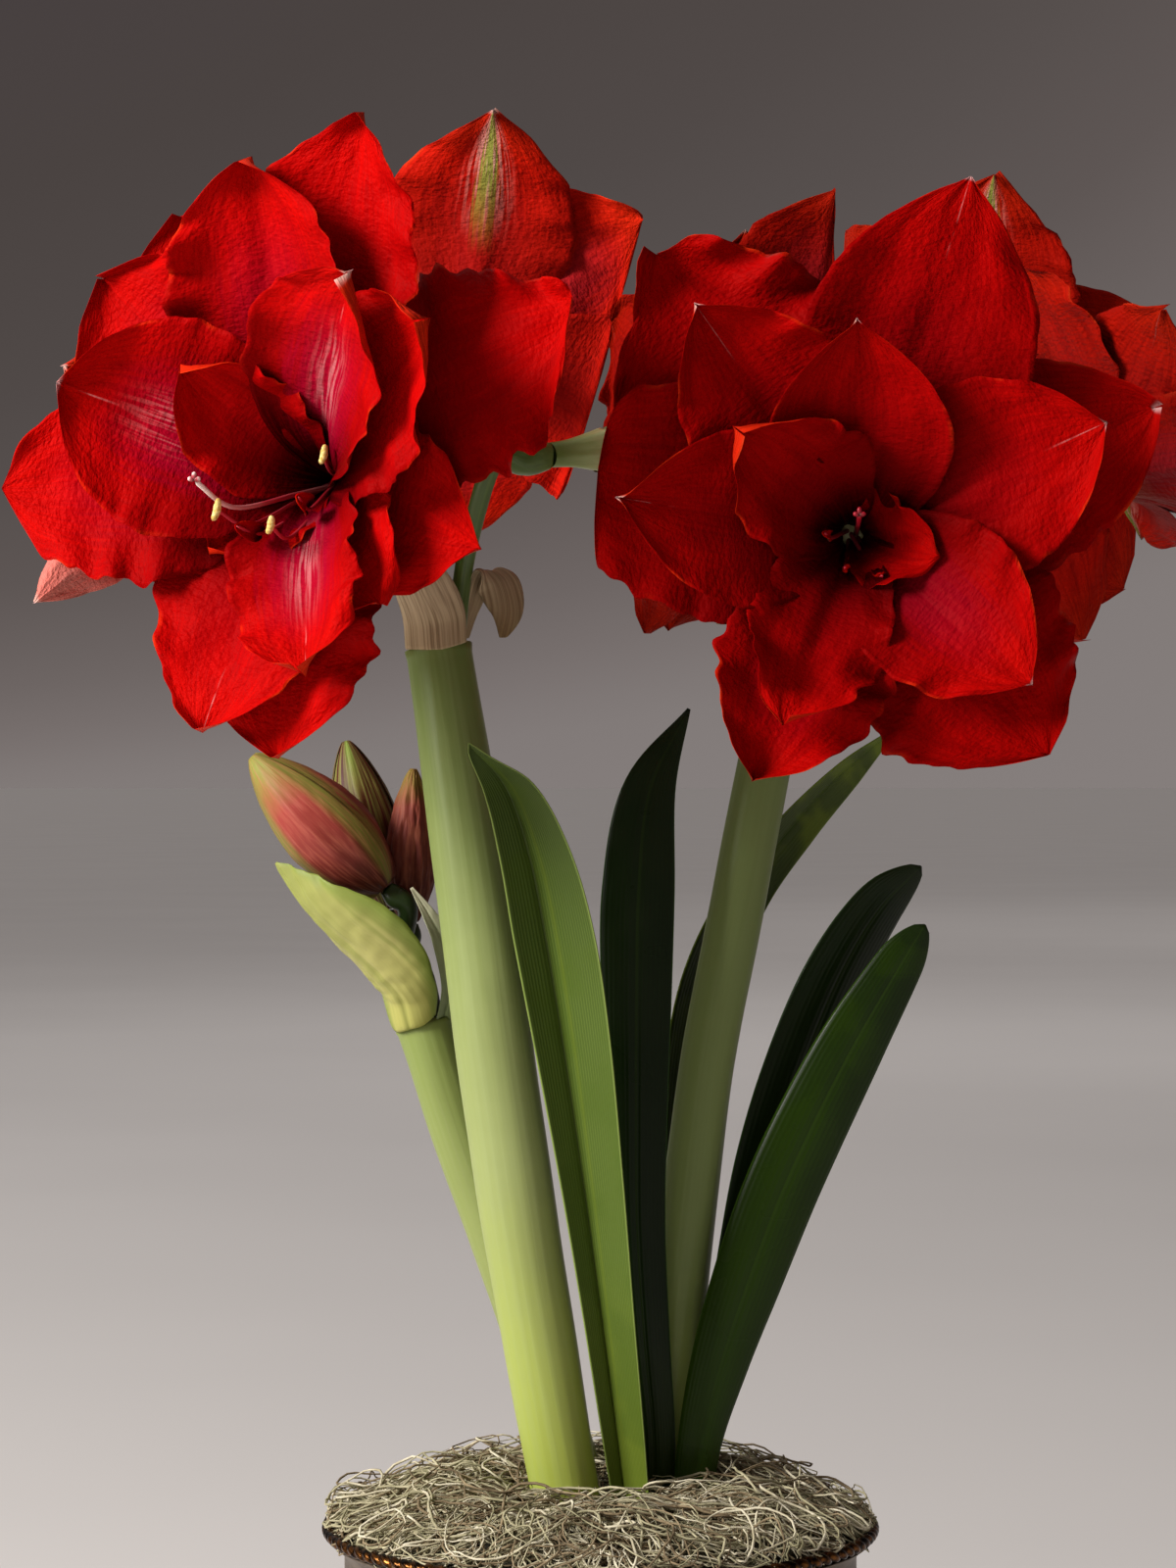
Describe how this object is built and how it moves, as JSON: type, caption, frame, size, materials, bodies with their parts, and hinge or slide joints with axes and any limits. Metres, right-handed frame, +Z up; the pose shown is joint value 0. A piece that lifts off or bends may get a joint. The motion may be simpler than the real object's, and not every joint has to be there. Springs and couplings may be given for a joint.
{
  "type": "amaryllis in a pot",
  "caption": "Potted amaryllis with double red blooms on tall scapes, a bud umbel, strap leaves, a moss top dressing and a rope-rimmed metal pot.",
  "frame": {"origin": "centre of the pot's flat base, on the surface that it stands on", "axes": "+Z up the plant; the picture's front faces -Y; +X is to the viewer's right"},
  "size_m": [0.4687, 0.3328, 0.6697],
  "materials": {
    "pot_metal": "dark antique bronze finish, satin, lightly worn",
    "rope_metal": "near-black rope twist with copper on its high points",
    "potting_soil": "damp dark potting soil, matt",
    "bulb_tunic": "papery brown tunic, matt",
    "dried_moss": "dried grey-green moss strands, matt",
    "scape_skin": "glaucous green skin with fine upright streaks, satin",
    "leaf_skin": "very dark green leaf, glossy, with fine parallel veins",
    "fresh_leaf_skin": "fresh green leaf, satin, finely ribbed",
    "petals": "velvety deep red tepals with fine parallel veins and waved edges",
    "pedicels": "green stalk and ovary, satin",
    "bud_tepals": "pink-brown bud with yellow-green edges, satin",
    "dried_spathe": "papery beige bract with brown streaks, matt",
    "fresh_spathe": "yellow-green bract, satin"
  },
  "bodies": {
    "root": {"pot": "pot_metal", "pot_rope_rim": "rope_metal", "soil": "potting_soil", "bulb": "bulb_tunic", "moss": "dried_moss", "scape_left": "scape_skin", "scape_right": "scape_skin", "scape_bud": "scape_skin", "leaf_centre": "leaf_skin", "leaf_back": "leaf_skin", "leaf_right_rear": "leaf_skin", "leaf_right_front": "leaf_skin", "leaf_front": "fresh_leaf_skin", "bloom_left_front": "petals", "bloom_left_back": "petals", "bloom_left_right": "petals", "bloom_left_side": "petals", "bloom_right_front": "petals", "bloom_right_side": "petals", "bloom_right_rear": "petals", "bloom_right_back": "petals", "pedicel_left_front": "pedicels", "pedicel_left_back": "pedicels", "pedicel_left_right": "pedicels", "pedicel_left_side": "pedicels", "pedicel_right_front": "pedicels", "pedicel_right_side": "pedicels", "pedicel_right_rear": "pedicels", "pedicel_right_back": "pedicels", "bud_left_stalk": "pedicels", "bud_rear_stalk": "pedicels", "bud_right_stalk": "pedicels", "bud_left": "bud_tepals", "bud_rear": "bud_tepals", "bud_right": "bud_tepals", "spathe_left_near": "dried_spathe", "spathe_left_far": "dried_spathe", "spathe_right_near": "dried_spathe", "spathe_right_far": "dried_spathe", "spathe_bud_inner": "dried_spathe", "spathe_bud_valve": "fresh_spathe"}
  },
  "joints": []
}
